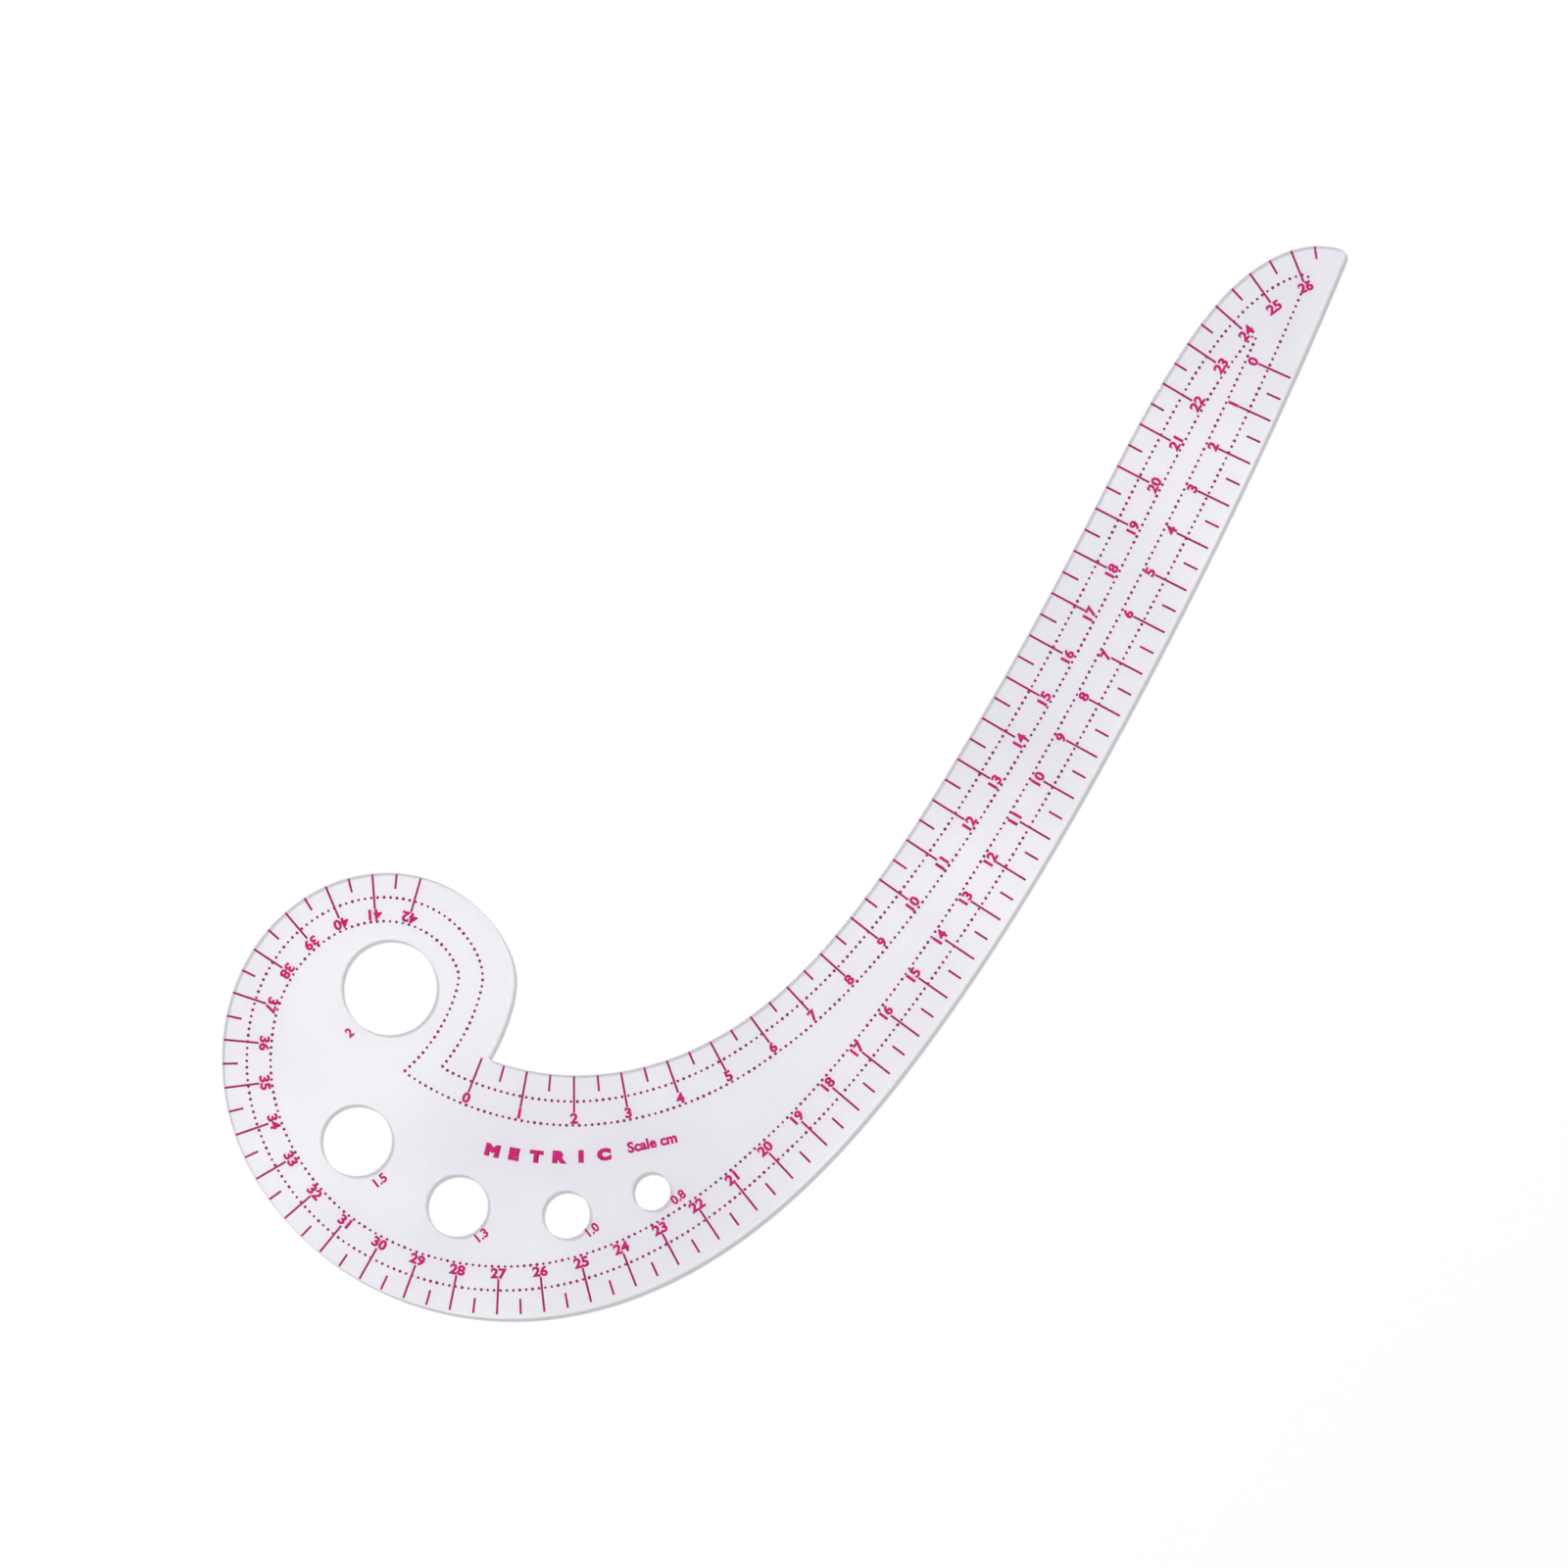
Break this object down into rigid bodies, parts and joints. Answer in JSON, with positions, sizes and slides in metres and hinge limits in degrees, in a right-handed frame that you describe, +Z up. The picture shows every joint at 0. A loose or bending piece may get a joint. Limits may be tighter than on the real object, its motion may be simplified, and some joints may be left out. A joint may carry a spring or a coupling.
{
  "type": "french curve",
  "caption": "Clear plastic french curve with a hooked head, a long tapering blade, round template holes and a centimetre scale printed along both edges.",
  "frame": {"origin": "centre of the sheet's bounding box, on the underside that rests on the table", "axes": "+X from the head towards the tip along the sheet's length, +Y towards the side with the hook's mouth and the hollow front of the blade, +Z up out of the printed face"},
  "size_m": [0.299, 0.111, 0.0016],
  "materials": {
    "clear_plastic": "clear, glossy, faint cool tint",
    "rose_ink": "screen-printed rose ink, satin"
  },
  "bodies": {
    "root": {"curve_plate": "clear_plastic", "outer_scale_print": "rose_ink", "inner_scale_print": "rose_ink", "far_seam_print": "rose_ink"}
  },
  "joints": []
}
